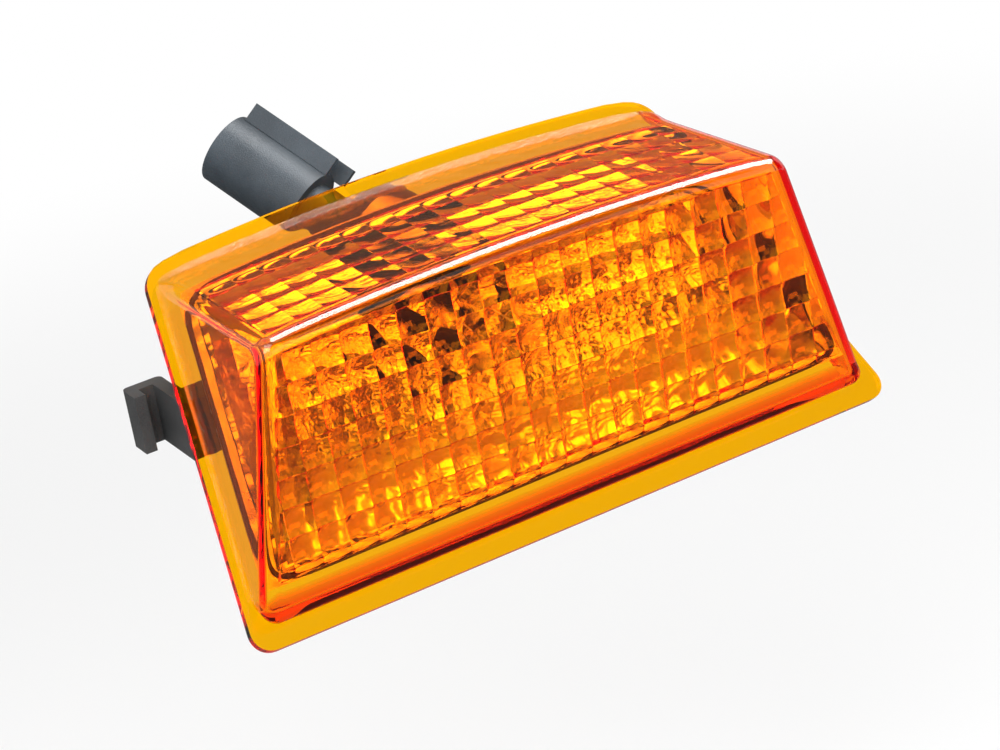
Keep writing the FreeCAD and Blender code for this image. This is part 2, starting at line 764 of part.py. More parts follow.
# Spring plate on the floor of the sleeve, under the soldered contact.
centre_plate = new_body("centre_contact")
PLATE_FOOT = "sheet.cap_end + sheet.insulator_thick + sheet.contact_height"
turned(centre_plate, "contact_plate", [
    ("0", PLATE_FOOT),
    ("sheet.plate_radius", PLATE_FOOT),
    ("sheet.plate_radius", PLATE_FOOT + " + sheet.contact_height"),
    ("0", PLATE_FOOT + " + sheet.contact_height"),
])

# Two flat blades stand on the floor of the connector socket, with bevelled tips.
for side_name, sign in (("left", "-"), ("right", "")):
    blade = new_body("terminal_" + side_name)
    middle = f"{sign}sheet.blade_spacing / 2"
    half = "sheet.blade_width / 2"
    blade_sketch = outline(blade, "blade_outline_" + side_name, [
        (f"{middle} - {half}", "sheet.socket_floor"),
        (f"{middle} + {half}", "sheet.socket_floor"),
        (f"{middle} + {half}", "sheet.blade_end - sheet.blade_tip"),
        (f"{middle} + {half} - sheet.blade_tip", "sheet.blade_end"),
        (f"{middle} - {half} + sheet.blade_tip", "sheet.blade_end"),
        (f"{middle} - {half}", "sheet.blade_end - sheet.blade_tip"),
    ], "YZ_Plane")
    blade_pad = blade.newObject("PartDesign::Pad", "blade_pad_" + side_name)
    blade_pad.Profile = blade_sketch
    blade_pad.setExpression("Length", "sheet.blade_thick")
    blade_pad.Midplane = True

doc.recompute()
for item in doc.Objects:
    if "Invalid" in item.State or "Error" in item.State:
        raise RuntimeError(f"{item.Label} failed: {item.State}")
for piece in pieces:
    if piece.Shape.isNull() or not piece.Shape.isValid():
        raise RuntimeError(f"{piece.Label} has no valid shape")

os.makedirs("parts", exist_ok=True)
for piece in pieces:
    piece.Shape.exportStep(f"parts/{piece.Label}.step")
    print(piece.Label, round(piece.Shape.Volume, 1), len(piece.Shape.Solids))
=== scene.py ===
import math

import bmesh
import bpy
import numpy as np
from mathutils import Matrix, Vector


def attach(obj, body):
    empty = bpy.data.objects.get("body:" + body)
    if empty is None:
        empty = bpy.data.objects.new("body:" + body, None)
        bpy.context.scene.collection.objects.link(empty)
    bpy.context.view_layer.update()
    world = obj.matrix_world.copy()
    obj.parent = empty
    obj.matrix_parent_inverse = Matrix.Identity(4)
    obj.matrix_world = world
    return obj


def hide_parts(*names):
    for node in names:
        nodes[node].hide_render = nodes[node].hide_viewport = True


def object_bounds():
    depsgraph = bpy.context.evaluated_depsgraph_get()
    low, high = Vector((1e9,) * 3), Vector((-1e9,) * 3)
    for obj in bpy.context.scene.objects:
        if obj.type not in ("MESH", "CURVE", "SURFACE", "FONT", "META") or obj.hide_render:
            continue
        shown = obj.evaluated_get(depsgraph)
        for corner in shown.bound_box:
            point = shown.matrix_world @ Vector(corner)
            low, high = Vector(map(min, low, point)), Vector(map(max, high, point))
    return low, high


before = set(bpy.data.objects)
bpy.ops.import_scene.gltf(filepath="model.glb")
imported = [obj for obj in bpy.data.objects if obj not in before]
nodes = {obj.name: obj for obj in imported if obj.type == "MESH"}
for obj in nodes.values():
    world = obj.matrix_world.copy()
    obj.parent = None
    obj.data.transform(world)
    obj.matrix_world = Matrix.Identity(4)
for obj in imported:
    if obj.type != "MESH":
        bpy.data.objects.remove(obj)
cad_box = [[float(v) for v in corner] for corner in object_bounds()]


# Housing
# A bowl moulded from black filled plastic, with the bulb port at its back and a hook at its left end.
# The tool was spark-eroded, so the skin is matte with a fine grain and faint cloudy flow marks, and the
# rim that stands inside the lens carries the same bright coat as the reflector.


class Shade:
    """One output of a shader tree: operators on it add Math nodes, and node() adds any other node."""

    def __init__(self, tree, socket=None):
        self.tree = tree
        self.socket = socket

    def node(self, kind, settings=None, inputs=None, output=0):
        """Adds a node, sets its settings and ramp stops, then fills its inputs with values or links."""
        made = self.tree.nodes.new(kind)
        for name, value in (settings or {}).items():
            if name == "stops":
                ramp = made.color_ramp
                while len(ramp.elements) < len(value):
                    ramp.elements.new(1.0)
                for element, (place, colour) in zip(ramp.elements, value):
                    element.position = place
                    element.color = (*colour, 1.0)
            else:
                setattr(made, name, value)
        for name, value in (inputs or {}).items():
            if isinstance(value, Shade):
                self.tree.links.new(value.socket, made.inputs[name])
            else:
                made.inputs[name].default_value = value
        return Shade(self.tree, made.outputs[output])

    def math(self, operation, *others):
        """Adds one Math node on this value and up to two more."""
        inputs = dict(enumerate((self, *others)))
        return self.node("ShaderNodeMath", {"operation": operation}, inputs)

    def __add__(self, other):
        return self.math("ADD", other)

    __radd__ = __add__

    def __sub__(self, other):
        return self.math("SUBTRACT", other)

    def __rsub__(self, other):
        return self.node("ShaderNodeMath", {"operation": "SUBTRACT"}, {0: other, 1: self})

    def __mul__(self, other):
        return self.math("MULTIPLY", other)

    __rmul__ = __mul__

    def __truediv__(self, other):
        return self.math("DIVIDE", other)

    def __pow__(self, other):
        return self.math("POWER", other)

    def step(self, low, high):
        """Rises smoothly from 0 at low to 1 at high."""
        return self.node("ShaderNodeMapRange", {"interpolation_type": "SMOOTHSTEP"},
                         {"Value": self, "From Min": low, "From Max": high})

    def mix(self, first, second):
        """Blends two colours by this value."""
        return self.node("ShaderNodeMix", {"data_type": "RGBA"}, {"Factor": self, 6: first, 7: second}, 2)

    def noise(self, scale, detail=2.0, roughness=0.5):
        """Gives cloudy noise on these coordinates, from about 0.3 to 0.7."""
        return self.node("ShaderNodeTexNoise", None,
                         {"Vector": self, "Scale": scale, "Detail": detail, "Roughness": roughness})

    def axis(self, number):
        """Gives one coordinate of a place."""
        return self.node("ShaderNodeSeparateXYZ", None, {"Vector": self}, number)

    def bump(self, distance, strength=1.0):
        """Turns this height into a normal; a height of 1 stands for the distance in metres."""
        return self.node("ShaderNodeBump", None, {"Height": self, "Distance": distance, "Strength": strength})


def new_finish(name, constants):
    """Starts a material: gives it, its shader's inputs to link, and the place on the piece in metres."""
    material = bpy.data.materials.new(name)
    material.use_nodes = True
    tree = material.node_tree
    shader = tree.nodes["Principled BSDF"]
    for socket, value in constants.items():
        shader.inputs[socket].default_value = value

    def feed(**links):
        for socket, value in links.items():
            tree.links.new(value.socket, shader.inputs[socket.replace("_", " ")])

    place = Shade(tree).node("ShaderNodeTexCoord", output=3)
    return material, feed, place


def dress(name, material):
    """Gives a solid its finish."""
    mesh = nodes[name].data
    mesh.materials.clear()
    mesh.materials.append(material)


def moulded_plastic(name, dark, light, roughness):
    """Matte plastic: eroded grain of about 0.3 mm, cloudy flow marks and a slightly uneven gloss."""
    material, feed, place = new_finish(name, {"IOR": 1.5, "Specular IOR Level": 0.2})
    clouds = place.noise(55.0, 4.0)
    grain = place.noise(3200.0, 2.0)
    rubbed = place.noise(240.0, 3.0).step(0.55, 0.75)
    feed(Base_Color=(clouds * 0.7 + grain * 0.3).step(0.35, 0.65).mix(dark, light),
         Roughness=roughness + (clouds - 0.5) * 0.25 - rubbed * 0.08,
         Normal=grain.bump(0.00006))
    return material


TILT = math.radians(53.4)
SIN, COS = math.sin(TILT), math.cos(TILT)
material, feed, place = new_finish("housing_plastic", {"IOR": 1.5, "Specular IOR Level": 0.2})
clouds = place.noise(55.0, 4.0)
grain = place.noise(3200.0, 2.0)
coated = (place.axis(2) * COS - place.axis(1) * SIN).step(0.0003, 0.0007)
skin = (clouds * 0.7 + grain * 0.3).step(0.35, 0.65).mix((0.034, 0.035, 0.036, 1), (0.060, 0.060, 0.060, 1))
feed(Base_Color=coated.mix(skin, (0.86, 0.86, 0.86, 1)), Metallic=coated,
     Roughness=0.52 + (clouds - 0.5) * 0.25 - coated * 0.22, Normal=grain.bump(0.00006))
dress("housing", material)

# Reflector
# A thin bowl coated with bright metal in a vacuum, dropped into the housing and held by the lens.
# The coat copies the slight waves of the moulding under it.

material, feed, place = new_finish("bright_metal_coat", {"Metallic": 1.0})
waves = place.noise(160.0, 2.0)
haze = place.noise(900.0, 3.0)
feed(Base_Color=haze.step(0.3, 0.7).mix((0.68, 0.68, 0.68, 1), (0.78, 0.78, 0.77, 1)),
     Roughness=0.06 + haze * 0.08,
     Normal=waves.bump(0.0004))
dress("reflector", material)

# Bulb
# Blown clear glass on a brass bayonet cap, with a glass stem, two leads and a tungsten coil.
# The cap is drawn brass, dulled by handling; its foot is black glass with a blob of solder.

material, feed, place = new_finish("blown_glass", {
    "IOR": 1.5, "Transmission Weight": 1.0, "Base Color": (0.98, 0.985, 0.98, 1)})
feed(Roughness=place.noise(300.0).step(0.4, 0.8) * 0.03, Normal=place.noise(90.0).bump(0.0002))
for name in ("bulb_glass", "bulb_stem"):
    dress(name, material)


def dull_metal(name, bright, dull, roughness):
    """Bare metal with clouds of tarnish and fine rubbing marks."""
    material, feed, place = new_finish(name, {"Metallic": 1.0})
    tarnish = place.noise(420.0, 4.0).step(0.42, 0.7)
    marks = place.noise(4200.0, 2.0)
    feed(Base_Color=tarnish.mix(bright, dull), Roughness=roughness + tarnish * 0.15, Normal=marks.bump(0.00003))
    return material


brass = dull_metal("drawn_brass", (0.79, 0.62, 0.32, 1), (0.52, 0.38, 0.18, 1), 0.25)
for name in ("bulb_cap", "bulb_pin_left", "bulb_pin_right"):
    dress(name, brass)
wire = dull_metal("drawn_tungsten", (0.42, 0.42, 0.44, 1), (0.28, 0.27, 0.27, 1), 0.32)
for name in ("filament", "lead_wire_left", "lead_wire_right"):
    dress(name, wire)
dress("bulb_contact", dull_metal("solder", (0.66, 0.66, 0.68, 1), (0.45, 0.45, 0.46, 1), 0.4))
dress("bulb_insulator", moulded_plastic("black_foot_glass", (0.010, 0.010, 0.013, 1), (0.02, 0.02, 0.024, 1), 0.18))

# Bulb holder
# One moulding in grey-black plastic that twists into the port on a rubber ring, with the connector barrel
# at its back. Its blades and the spring plate are tinned brass, pressed in.

dress("bulb_holder", moulded_plastic("holder_plastic", (0.024, 0.031, 0.038, 1), (0.044, 0.055, 0.066, 1), 0.46))
dress("holder_seal", moulded_plastic("seal_rubber", (0.025, 0.025, 0.027, 1), (0.040, 0.040, 0.042, 1), 0.7))
tinned = dull_metal("tinned_brass", (0.76, 0.74, 0.68, 1), (0.55, 0.52, 0.45, 1), 0.28)
for name in ("centre_contact", "terminal_left", "terminal_right"):
    dress(name, tinned)

# Sealing bead
# A line of dark glue laid by a nozzle on the rim of the housing, in one loop with rounded corners.
# The lens is pressed into it while it is wet, and it holds the lens and keeps water out. Sizes are in mm.

WALL = 2.5
FRONT_Y, FLOOR_Z, CROWN_Z = -32.5, -30.5, 41.2
ARCH_RADIUS, CROWN_X = 893.0, -12.3
LEFT_END, LEFT_SPREAD = 73.6, 13.4
RIGHT_END, RIGHT_SPREAD = 70.9, 17.1
RIGHT_CLOSING = math.radians(3.9)
BEAD_SEAT, BEAD_LOW, BEAD_INSET = 10.5, -34.0, 1.1
BEAD_WIDE, BEAD_TALL = 0.65, 0.4
BEAD_POINTS, BEAD_SIDES = 360, 12
CORNER_SHARPNESS = 30.0


def arch(x, inset=0.0):
    """Height of the top face: a large circle about a line along Y, moved inwards by an inset."""
    return CROWN_Z - ARCH_RADIUS + np.sqrt((ARCH_RADIUS - inset) ** 2 - (x - CROWN_X) ** 2)


def end_x(side, y, z, inset=0.0):
    """Place of an end wall: a plane that spreads downwards, the right one also closing in to the back."""
    share = (CROWN_Z - z) / (CROWN_Z - FLOOR_Z)
    left = -(LEFT_END + LEFT_SPREAD * share - inset)
    right = RIGHT_END + RIGHT_SPREAD * share - (y - FRONT_Y) * math.tan(RIGHT_CLOSING) - inset
    return left if side < 0 else right


def seat_point(up, height):
    """y and z of a point that lies a way up the slanted seat and a height out of it."""
    return COS * up - SIN * height, SIN * up + COS * height


def grid_faces(rows, columns, start):
    """The four corners of every face of a grid of points."""
    corner = start + np.arange((rows - 1) * columns).reshape(rows - 1, columns)[:, :-1].ravel()
    return np.stack([corner, corner + 1, corner + columns + 1, corner + columns], axis=-1)


def bead_loop(count):
    """The bead's path round the rim: seen from its middle, the softened nearest of four edge lines."""
    turn = np.linspace(0, 2 * math.pi, count, endpoint=False)
    ahead = np.stack([np.cos(turn), np.sin(turn)])
    middle = np.array([0.0, 3.0])
    way = np.full(count, 40.0)
    for _ in range(30):
        x = middle[0] + way * ahead[0]
        up = middle[1] + way * ahead[1]
        y, z = seat_point(up, BEAD_SEAT)
        room = np.stack([
            (x - end_x(-1, y, z, WALL + BEAD_INSET)) / way,
            (end_x(1, y, z, WALL + BEAD_INSET) - x) / way,
            (up - BEAD_LOW) / way,
            ((arch(x, WALL) - COS * BEAD_SEAT) / SIN - BEAD_INSET - up) / way])
        share = np.sum(np.exp(-CORNER_SHARPNESS * room), axis=0)
        way = way * (1 - 0.5 * np.log(share) / CORNER_SHARPNESS)
    return middle[:, None] + way * ahead


path = bead_loop(BEAD_POINTS)
along = np.roll(path, -1, axis=1) - np.roll(path, 1, axis=1)
sideways = np.stack([along[1], -along[0]]) / np.hypot(*along)
turn = np.linspace(0, 2 * math.pi, BEAD_SIDES, endpoint=False)[:, None]
ring = path[:, None, :] + BEAD_WIDE * np.cos(turn)[None] * sideways[:, None, :]
bead_y, bead_z = seat_point(ring[1], BEAD_SEAT + BEAD_TALL * np.sin(turn))
tube = np.stack([ring[0], bead_y, bead_z], axis=-1)
tube = np.concatenate([tube, tube[:1]])
tube = np.concatenate([tube, tube[:, :1]], axis=1)
bead_mesh = bpy.data.meshes.new("glue_bead")
bead_mesh.from_pydata(tube.reshape(-1, 3) / 1000, [], grid_faces(*tube.shape[:2], 0))
shell = bmesh.new()
shell.from_mesh(bead_mesh)
bmesh.ops.remove_doubles(shell, verts=shell.verts, dist=1e-6)
bmesh.ops.recalc_face_normals(shell, faces=shell.faces)
shell.to_mesh(bead_mesh)
shell.free()
bead_mesh.shade_smooth()
bead = bpy.data.objects.new("glue_bead", bead_mesh)
bpy.context.scene.collection.objects.link(bead)
bead_mesh.materials.append(moulded_plastic("dark_glue", (0.020, 0.014, 0.010, 1), (0.045, 0.030, 0.018, 1), 0.35))
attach(bead, "root")
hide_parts("sealing_bead")

# Lens
# One injection moulding in clear amber acrylic, polished outside, with rows of small pillow prisms inside
# the front and the top face. It is glued down on the bead and its flat rim covers the panel's opening.

RIM_THICK = 2.5
EDGE_ROUND, RIDGE_ROUND, CORNER_ROUND, RIM_ROUND = 3.0, 3.6, 4.4, 6.0
INNER_ROUND = 1.9
RIM_LOW, RIM_LIP = -47.5, 1.2
RIM_LEFT, RIM_RIGHT = (-75.4, -89.85), (68.0, 95.45)
CELL, COLUMN_LINE, ROW_LINE = 7.5, -1.28, -3.0
CELL_STEPS = 9
FIELD_WALL = 0.8
SHARP_ANGLE = math.radians(25)
FRONT_PILLOW = {"round": 9.5, "row_tilt": 0.14, "column_tilt": -0.14}
TOP_PILLOW = {"round": 16.0, "row_tilt": -0.10, "column_tilt": -0.06}


def rim_top(x):
    """Upper edge of the rim, measured up the seat: the arch of the top face moved outwards by the lip."""
    return arch(x, -RIM_LIP) / SIN


def rim_x(side, up):
    """End of the rim: a slanted line, drawn in by a quarter circle at its two corners."""
    top_x, low_x = RIM_LEFT if side < 0 else RIM_RIGHT
    top = rim_top(top_x)
    x = top_x + (low_x - top_x) * (top - up) / (top - RIM_LOW)
    near = np.clip(np.minimum(up - RIM_LOW, top - up), 0.0, RIM_ROUND)
    return x - side * (RIM_ROUND - np.sqrt(RIM_ROUND**2 - (RIM_ROUND - near) ** 2))


def quarter(near, radius):
    """How far a quarter circle draws an outline in, at a distance from its corner."""
    gap = np.clip(near, 0.0, radius)
    return radius - np.sqrt(radius**2 - (radius - gap) ** 2)


def outside(part, x):
    """y and z of the outer skin. part runs from 0 to 7: rim, floor, round edge, front, ridge, top, rim."""
    top = arch(x)
    low_foot = COS / SIN * FLOOR_Z - RIM_THICK / SIN
    top_foot = COS / SIN * top - RIM_THICK / SIN
    step = part - np.floor(np.clip(part, 0, 6.999))
    low_up = COS * low_foot + SIN * FLOOR_Z
    top_up = COS * top_foot + SIN * top
    rim_y, rim_z = seat_point(RIM_LOW + (low_up - RIM_LOW) * step, RIM_THICK)
    lip_y, lip_z = seat_point(top_up + (rim_top(x) - top_up) * step, RIM_THICK)
    turn = step * math.pi / 2
    inner_y, low_z = FRONT_Y + EDGE_ROUND, FLOOR_Z + EDGE_ROUND
    ridge_y = FRONT_Y + RIDGE_ROUND
    pieces = [
        (rim_y, rim_z),
        (low_foot + (inner_y - low_foot) * step, FLOOR_Z),
        (inner_y - EDGE_ROUND * np.sin(turn), FLOOR_Z + EDGE_ROUND * (1 - np.cos(turn))),
        (FRONT_Y, low_z + (top - RIDGE_ROUND - low_z) * (1 - np.cos(2 * turn)) / 2),
        (ridge_y - RIDGE_ROUND * np.cos(turn), top - RIDGE_ROUND * (1 - np.sin(turn))),
        (ridge_y + (top_foot - ridge_y) * (1 - np.cos(2 * turn)) / 2, top),
        (lip_y, lip_z),
    ]
    flat = np.zeros_like(part + x)
    cases = [np.clip(np.floor(part), 0, 6) + flat == number for number in range(7)]
    y = np.select(cases, [flat + piece[0] for piece in pieces])
    z = np.select(cases, [flat + piece[1] for piece in pieces])
    return y, z


def foot_of(y, z, first, last):
    """How far up the seat an end wall's foot lies: its share of the way from the first line to the last."""
    up = COS * y + SIN * z
    way = np.concatenate([np.zeros((1, 1)), np.cumsum(np.hypot(np.diff(y, axis=0), np.diff(z, axis=0)), axis=0)])
    share = np.clip((way - way[first]) / (way[last] - way[first]), 0, 1)
    row = np.arange(len(up))[:, None]
    return np.where((row < first) | (row > last), up, up[first] + share * (up[last] - up[first]))


def rounded_end(side, y, z, foot_y, foot_z, radius, draw, inset):
    """The end of each line: a quarter circle off the face, then straight down the end wall to its foot."""
    run_y, run_z = foot_y - y, foot_z - z
    length = np.maximum(np.hypot(run_y, run_z), 1e-6)
    turn = np.linspace(0, math.pi / 2, 10)[None, :]
    along = radius * (1 - np.cos(turn)) / length
    down = np.linspace(0, 1, 6)[None, 1:]
    last = along[:, -1:]
    share = np.hstack([along, last + (1 - last) * down])
    away = np.hstack([radius * (1 - np.sin(turn)), np.zeros((len(y), down.size))])
    end_y, end_z = y + run_y * share, z + run_z * share
    return end_x(side, end_y, end_z, inset) - side * (draw + away), end_y, end_z


def outer_skin():
    """The outer skin as a grid: each line goes from the rim's left end up the wall, across and down again."""
    part = np.concatenate([
        np.linspace(0, 1, 12)[:-1] ** 1.6, [1, 1.5], 2 + np.linspace(0, 1, 5)[:-1], 3 + np.linspace(0, 1, 25)[:-1],
        4 + np.linspace(0, 1, 14)[:-1], 5 + np.linspace(0, 1, 25)[:-1], 6 + np.linspace(0, 1, 5)])[:, None]
    body = (part >= 1) & (part <= 6)
    halves = []
    for side in (-1, 1):
        x = end_x(side, FRONT_Y, np.full_like(part, 10.0))
        for _ in range(4):
            y, z = outside(part, x)
            x = end_x(side, y, z)
        high = np.where(body, COS * z - SIN * y - RIM_THICK, 0.0)
        radius = np.minimum(CORNER_ROUND, 0.5 * high)
        draw = np.where(part < 4, quarter(z - FLOOR_Z, CORNER_ROUND), 0.0)
        draw = np.where(part >= 5, quarter(high, CORNER_ROUND), draw)
        draw = np.where(part < 1, CORNER_ROUND, draw)
        foot_up = foot_of(y, z, *np.flatnonzero(body)[[0, -1]])
        foot_y, foot_z = seat_point(foot_up, RIM_THICK)
        wall_x, wall_y, wall_z = rounded_end(side, y, z, foot_y, foot_z, radius, draw, 0.0)
        lip_x = rim_x(side, foot_up)
        lip_x = np.where(side * lip_x < side * wall_x[:, -1:], wall_x[:, -1:], lip_x)
        ground_y, ground_z = seat_point(foot_up, 0.0)
        halves.append((
            np.hstack([wall_x, lip_x, lip_x]),
            np.hstack([wall_y, foot_y, ground_y]),
            np.hstack([wall_z, foot_z, ground_z])))
    share = np.linspace(0, 1, 26)[None, 1:-1]
    x = halves[0][0][:, :1] + (halves[1][0][:, :1] - halves[0][0][:, :1]) * share
    y, z = outside(part, x)
    grid = [np.hstack([left[:, ::-1], middle, right])
            for left, middle, right in zip(halves[0], (x, y, z), halves[1])]
    skin = np.stack(grid, axis=-1)
    for row, first in ((0, True), (-1, False)):
        edge = skin[row]
        up = COS * edge[:, 1] + SIN * edge[:, 2]
        y, z = seat_point(up, 0.0)
        line = np.stack([edge[:, 0], y, z], axis=-1)[None]
        skin = np.concatenate([line, skin] if first else [skin, line])
    return skin


def pillow(x, along, form):
    """Height of the prisms: in each square cell a ball's cap, tilted both ways, that just clears its corners."""
    across = (x - COLUMN_LINE) / CELL
    rising = along / CELL
    u = (across - np.floor(across) - 0.5) * CELL
    w = (rising - np.floor(rising) - 0.5) * CELL
    corner = CELL / 2 * (CELL / 2 / form["round"] + abs(form["row_tilt"]) + abs(form["column_tilt"]))
    return corner + 0.1 - (u**2 + w**2) / (2 * form["round"]) + form["row_tilt"] * w + form["column_tilt"] * u


def cell_lines(first, last, line):
    """Places across a row of cells from first to last, each cell's two ends doubled for its own edges."""
    start = math.floor((first - line) / CELL)
    end = math.ceil((last - line) / CELL)
    inner = np.linspace(1e-4, 1 - 1e-4, CELL_STEPS)
    return np.clip(line + CELL * (np.arange(start, end)[:, None] + inner).ravel(), first, last)


def inner_skin():
    """The inner skin as a grid: walls and floor moved inwards, with pillow prisms on the front and the top."""
    front, floor = FRONT_Y + WALL, FLOOR_Z + WALL
    field_low, field_gap, field_side = -20.3, 2.0, 0.5
    top_start, top_end = -26.5, 11.0
    rows = cell_lines(field_low, CROWN_Z - WALL - field_gap, ROW_LINE)
    lines = cell_lines(top_start, top_end, top_start)
    bend = np.linspace(0, math.pi / 2, 6)
    counts = (2, bend.size, 1, rows.size, 1, bend.size, 1, lines.size, 1, 1)
    kinds = np.repeat(np.arange(len(counts)), counts)[:, None]
    value = np.concatenate([[0.0, 0.5], bend, [field_low], rows, [0.0], bend, [top_start], lines, [top_end],
                            [0.0]])[:, None]

    def place(x):
        """y and z of the inner skin: floor, round edge, front with its field, ridge, top with its field."""
        top = arch(x, WALL)
        flat = np.zeros_like(x + value)
        floor_foot, back = COS / SIN * floor, 1 - np.cos(value)
        limit = top - field_gap
        pieces = [
            (floor_foot + (front + INNER_ROUND - floor_foot) * value, floor),
            (front + INNER_ROUND * (1 - np.sin(value)), floor + INNER_ROUND * back),
            (front, value),
            (front, np.minimum(value, limit)),
            (front, limit),
            (front + INNER_ROUND * back, top - INNER_ROUND * (1 - np.sin(value))),
            (value, top),
            (value, top),
            (value, top),
            (COS / SIN * top, top),
        ]
        cases = [kinds + flat == number for number in range(len(pieces))]
        return tuple(np.select(cases, [flat + piece[axis] for piece in pieces]) for axis in (0, 1))

    edges = []
    for side in (-1, 1):
        x = end_x(side, front, np.full_like(value, 10.0), WALL)
        for _ in range(4):
            y, z = place(x)
            x = end_x(side, y, z, WALL)
        foot_y, foot_z = seat_point(foot_of(y, z, 0, len(y) - 1), 0.0)
        radius = np.minimum(INNER_ROUND, 0.5 * np.hypot(foot_y - y, foot_z - z))
        edges.append(rounded_end(side, y, z, foot_y, foot_z, radius, 0.0, WALL))
    columns = cell_lines(-84.0, 86.0, COLUMN_LINE)[None, :]
    left = edges[0][0][:, :1] + field_side
    right = edges[1][0][:, :1] - field_side
    x = np.hstack([left, np.clip(columns, left, right), right])
    y, z = place(x)
    relief = np.ones(x.shape)
    relief[:, 0] = relief[:, -1] = 0.0
    on_front = relief * (kinds == 3)
    on_top = relief * (kinds == 7)
    sunk = WALL - FIELD_WALL
    y = y + on_front * (pillow(x, z - ROW_LINE, FRONT_PILLOW) - sunk)
    z = z - on_top * (pillow(x, y - top_start, TOP_PILLOW) - sunk)
    grid = [np.hstack([a[:, ::-1], middle, b]) for a, middle, b in zip(edges[0], (x, y, z), edges[1])]
    return np.stack(grid, axis=-1)


skins = [outer_skin(), inner_skin()]
points = np.concatenate([skin.reshape(-1, 3) for skin in skins]) / 1000
outer_count = skins[0].shape[0] * skins[0].shape[1]
faces = np.concatenate([grid_faces(*skins[0].shape[:2], 0),
                        grid_faces(*skins[1].shape[:2], outer_count)[:, ::-1]])
lens_mesh = bpy.data.meshes.new("amber_lens")
lens_mesh.from_pydata(points, [], faces)
belongs = lens_mesh.attributes.new("inner_skin", "INT", "POINT")
belongs.data.foreach_set("value", (np.arange(len(points)) >= outer_count).astype(np.int32))
shell = bmesh.new()
shell.from_mesh(lens_mesh)
bmesh.ops.remove_doubles(shell, verts=shell.verts, dist=2e-6)
empty = [face for face in shell.faces if face.calc_area() < 1e-13]
bmesh.ops.delete(shell, geom=empty, context="FACES")
is_inner = shell.verts.layers.int["inner_skin"]
open_edges = [edge for edge in shell.edges if edge.is_boundary]
made = bmesh.ops.triangle_fill(shell, use_beauty=True, edges=open_edges, normal=(0.0, SIN, -COS))["geom"]
caps = [face for face in made if isinstance(face, bmesh.types.BMFace) and all(v[is_inner] for v in face.verts)]
bmesh.ops.delete(shell, geom=caps, context="FACES")
shell.to_mesh(lens_mesh)
shell.free()
lens_mesh.shade_smooth()
lens_mesh.set_sharp_from_angle(angle=SHARP_ANGLE)
lens = bpy.data.objects.new("amber_lens", lens_mesh)
bpy.context.scene.collection.objects.link(lens)

material, feed, place = new_finish("amber_acrylic", {
    "IOR": 1.49, "Transmission Weight": 1.0, "Base Color": (1.0, 1.0, 1.0, 1), "Specular IOR Level": 0.3})
swirl = place.noise(45.0, 2.0)
feed(Roughness=place.noise(700.0, 3.0).step(0.4, 0.75) * 0.03, Normal=swirl.bump(0.0003))
dye = Shade(material.node_tree).node("ShaderNodeVolumeAbsorption", None,
                                     {"Color": (0.998, 0.905, 0.0, 1), "Density": 3000.0})
material.node_tree.links.new(dye.socket, material.node_tree.nodes["Material Output"].inputs["Volume"])
lens_mesh.materials.append(material)
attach(lens, "root")
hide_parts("lens")

# The thick plastic guides light along its walls, so paths go on for more turns than usual.
paths = bpy.context.scene.cycles
paths.max_bounces, paths.glossy_bounces, paths.transmission_bounces = 32, 24, 32

# Studio
# White ground below the lamp and white surroundings. A key box lights the whole lamp, five small boxes each
# light some rows of prisms through the lens, and one box gives the ridge its highlight. Grey cards that only
# mirrors and clear pieces see give the plastic something dark to show, as a photographer's flags do.

FLOOR_DROP, FLOOR_REACH = 0.16, 4.0
low = cad_box[0][2] - FLOOR_DROP


def level_corners(left, near, right, far, height):
    """Four corners of a level rectangle."""
    return [(left, near, height), (right, near, height), (right, far, height), (left, far, height)]


floor_mesh = bpy.data.meshes.new("ground")
floor_corners = level_corners(-FLOOR_REACH, -FLOOR_REACH, FLOOR_REACH, FLOOR_REACH, low)
floor_mesh.from_pydata(floor_corners, [], [(0, 1, 2, 3)])
floor = bpy.data.objects.new("ground", floor_mesh)
bpy.context.scene.collection.objects.link(floor)


def seen_directly(tree):
    """Gives 1 for rays from the camera and for those that a mirror or a clear piece sends on, else 0."""
    rays = [Shade(tree).node("ShaderNodeLightPath", output=name)
            for name in ("Is Camera Ray", "Is Glossy Ray", "Is Transmission Ray")]
    return rays[0].math("MAXIMUM", rays[1]).math("MAXIMUM", rays[2])


material, feed, place = new_finish("white_ground", {"Roughness": 0.9, "Base Color": (0.68, 0.68, 0.68, 1)})
tree = material.node_tree
glow = Shade(tree).node("ShaderNodeEmission", None, {"Color": (1, 1, 1, 1), "Strength": 1.0})
plain = Shade(tree, tree.nodes["Principled BSDF"].outputs[0])
# Near the lamp part of the ground's look is the light that falls there, so that its shadow is kept.
KEPT_SHADOW = 0.4
far = (place.axis(0) ** 2.0 + place.axis(1) ** 2.0).step(0.12, 0.6)
share = seen_directly(tree) * (1 - KEPT_SHADOW + far * KEPT_SHADOW)
ground = Shade(tree).node("ShaderNodeMixShader", None, {0: share, 1: plain, 2: glow})
tree.links.new(ground.socket, tree.nodes["Material Output"].inputs["Surface"])
floor_mesh.materials.append(material)

world = bpy.data.worlds.new("white_surroundings")
world.use_nodes = True
tree = world.node_tree
around = Shade(tree).node("ShaderNodeMath", {"operation": "MULTIPLY_ADD"}, {0: seen_directly(tree), 1: 0.5, 2: 0.5})
tree.links.new(around.socket, tree.nodes["Background"].inputs["Strength"])
tree.nodes["Background"].inputs["Color"].default_value = (1, 1, 1, 1)
bpy.context.scene.world = world


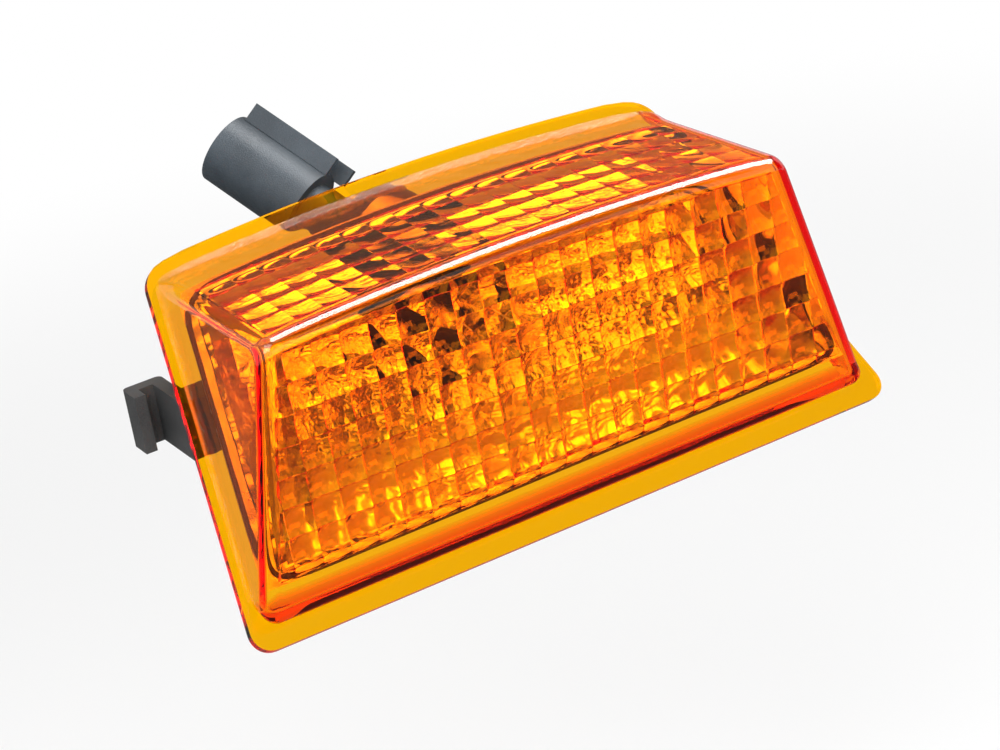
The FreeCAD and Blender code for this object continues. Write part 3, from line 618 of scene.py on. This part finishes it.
def soft_box(name, place, width, height, power):
    """Hangs a flat soft box at a place, turned towards the middle of the lamp."""
    lamp = bpy.data.lights.new(name, "AREA")
    lamp.shape = "RECTANGLE"
    lamp.size = width
    lamp.size_y = height
    lamp.energy = power
    box = bpy.data.objects.new(name, lamp)
    away = np.array(place) / np.linalg.norm(place)
    right = np.cross((0, 0, 1), away)
    right = right / np.linalg.norm(right)
    turn = np.eye(4)
    turn[:3, :4] = np.column_stack([right, np.cross(away, right), away, place])
    box.matrix_world = Matrix(turn.tolist())
    bpy.context.scene.collection.objects.link(box)
    return box


def dark_flag(name, grey, corners):
    """Stands a grey card where only reflections and clear pieces see it."""
    mesh = bpy.data.meshes.new(name)
    mesh.from_pydata(corners, [], [(0, 1, 2, 3)])
    card = bpy.data.objects.new(name, mesh)
    bpy.context.scene.collection.objects.link(card)
    material, feed, place = new_finish(name, {"Roughness": 1.0})
    darker, lighter = [(grey * part, grey * part, grey * part, 1) for part in (0.8, 1.2)]
    feed(Base_Color=place.noise(3.0).mix(darker, lighter))
    mesh.materials.append(material)
    card.visible_camera = card.visible_diffuse = card.visible_shadow = False
    return card


dark_flag("front_flag", 0.1, [(-0.8, -1.2, 0.6), (0.95, -1.0, 0.6), (0.85, -0.65, 1.3), (-0.7, -0.9, 1.3)])
dark_flag("right_flag", 0.1, [(1.3, -1.2, 0.0), (1.7, 0.1, 0.0), (1.5, 0.1, 1.0), (1.15, -0.7, 1.2)])
for name, grey, corners in (
        ("near_ground_flag", 0.04, level_corners(-1.6, -1.6, 1.4, 0, low + 0.01)),
        ("far_ground_flag", 0.12, level_corners(-1.6, 0, 1.4, 1.6, low + 0.01)),
        ("back_flag", 0.15, [(1.6, 0.9, 0.25), (-0.6, 1.5, 0.25), (-0.6, 1.5, 1.2), (1.6, 0.9, 1.2)])):
    dark_flag(name, grey, corners).visible_transmission = False
soft_box("key_box", (-0.7, -0.6, 0.9), 0.9, 0.9, 14.0)
for name, place, width, height, power in (
        ("left_rows_box", (0.8, -0.6, 0.45), 0.25, 0.25, 1.6),
        ("lower_rows_box", (0.25, -0.6, 0.85), 0.25, 0.25, 1.0),
        ("right_rows_box", (-0.1, -0.85, 0.6), 0.4, 0.4, 2.8),
        ("bottom_rows_box", (0.3, 0.0, 1.1), 0.25, 0.25, 1.4),
        ("top_rows_box", (0.35, -1.0, 0.3), 0.9, 0.4, 12.0)):
    soft_box(name, place, width, height, power).visible_glossy = False
ridge_box = soft_box("ridge_box", (0.45, -0.05, 0.99), 0.7, 1.0, 42.0)
ridge_box.visible_transmission = ridge_box.visible_diffuse = False

# Camera
# A long lens looks from the left and above, turned about ten degrees so that the ridge climbs to the right.
# Its place and directions were fitted to the square lattice of the prisms.

SENSOR_WIDTH = 36.0
FOCAL_SHARE = 3.2146
camera_data = bpy.data.cameras.new("camera")
camera_data.sensor_fit = "HORIZONTAL"
camera_data.sensor_width = SENSOR_WIDTH
camera_data.lens = FOCAL_SHARE * SENSOR_WIDTH
camera = bpy.data.objects.new("camera", camera_data)
to_right = np.array((0.8486, -0.5048, -0.1581))
to_top = np.array((0.3348, 0.2812, 0.8994))
pose = np.eye(4)
stand = (-0.3268, -0.6525, 0.3196)
pose[:3, :4] = np.column_stack([to_right, to_top, np.cross(to_right, to_top), stand])
camera.matrix_world = Matrix(pose.tolist())
bpy.context.scene.collection.objects.link(camera)
bpy.context.scene.camera = camera
bpy.context.scene.view_settings.view_transform = "Standard"
